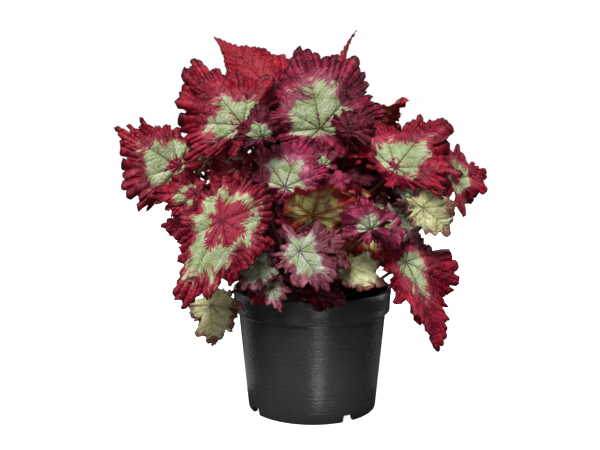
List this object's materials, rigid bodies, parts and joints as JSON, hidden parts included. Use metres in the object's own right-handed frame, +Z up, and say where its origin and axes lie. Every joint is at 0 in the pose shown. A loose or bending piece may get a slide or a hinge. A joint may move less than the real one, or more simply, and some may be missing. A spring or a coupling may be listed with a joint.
{
  "type": "potted rex begonia",
  "caption": "Rex begonia with ruffled, banded crimson and silver-green leaves on hairy stalks, growing from potting mix in a round black nursery pot.",
  "frame": {"origin": "centre of the pot's base, on the surface that the pot stands on", "axes": "+Z up; -Y towards the viewer of the picture; +X to the viewer's right"},
  "size_m": [0.3193, 0.2437, 0.3572],
  "materials": {
    "pot": "satin black moulded plastic with fine mould marks",
    "soil": "dark, damp, crumbly potting mix",
    "crown": "reddish brown, hairy stalks on a knobbly creeping stem",
    "blade": "satin, puckered leaf blade: crimson with a silver-green band above, reddish green below"
  },
  "bodies": {
    "root": {"crown": "crown", "leaf_back_1_1": "blade", "leaf_back_1_2": "blade", "leaf_back_1_3": "blade", "leaf_back_1_4": "blade", "leaf_back_1_5": "blade", "leaf_back_1_6": "blade", "leaf_back_2_1": "blade", "leaf_back_2_2": "blade", "leaf_back_2_3": "blade", "leaf_back_2_4": "blade", "leaf_back_3_1": "blade", "leaf_back_3_2": "blade", "leaf_back_3_3": "blade", "leaf_back_right_high": "blade", "leaf_centre_pink": "blade", "leaf_centre_ruffle": "blade", "leaf_centre_silver": "blade", "leaf_centre_small_pale": "blade", "leaf_centre_under": "blade", "leaf_dark_patch": "blade", "leaf_far_right": "blade", "leaf_front_large": "blade", "leaf_inner_centre": "blade", "leaf_inner_far_right": "blade", "leaf_inner_left": "blade", "leaf_inner_low": "blade", "leaf_inner_low_middle": "blade", "leaf_inner_low_right": "blade", "leaf_inner_mid_right": "blade", "leaf_inner_right": "blade", "leaf_inner_top_left": "blade", "leaf_inner_top_right": "blade", "leaf_inner_under": "blade", "leaf_left": "blade", "leaf_left_hanging": "blade", "leaf_left_inner_under": "blade", "leaf_left_lower": "blade", "leaf_left_under": "blade", "leaf_low_dark": "blade", "leaf_low_folded_left": "blade", "leaf_low_orange": "blade", "leaf_low_pale_left": "blade", "leaf_low_right_pale": "blade", "leaf_low_rim": "blade", "leaf_low_rolled": "blade", "leaf_right": "blade", "leaf_right_back_spike": "blade", "leaf_right_folded": "blade", "leaf_right_hanging": "blade", "leaf_right_pale": "blade", "leaf_right_puckered": "blade", "leaf_right_ruffled": "blade", "leaf_right_small_green": "blade", "leaf_right_small_pink": "blade", "leaf_top": "blade", "leaf_top_back_spire": "blade", "leaf_upper_left": "blade", "pot": "pot", "soil": "soil"}
  },
  "joints": []
}
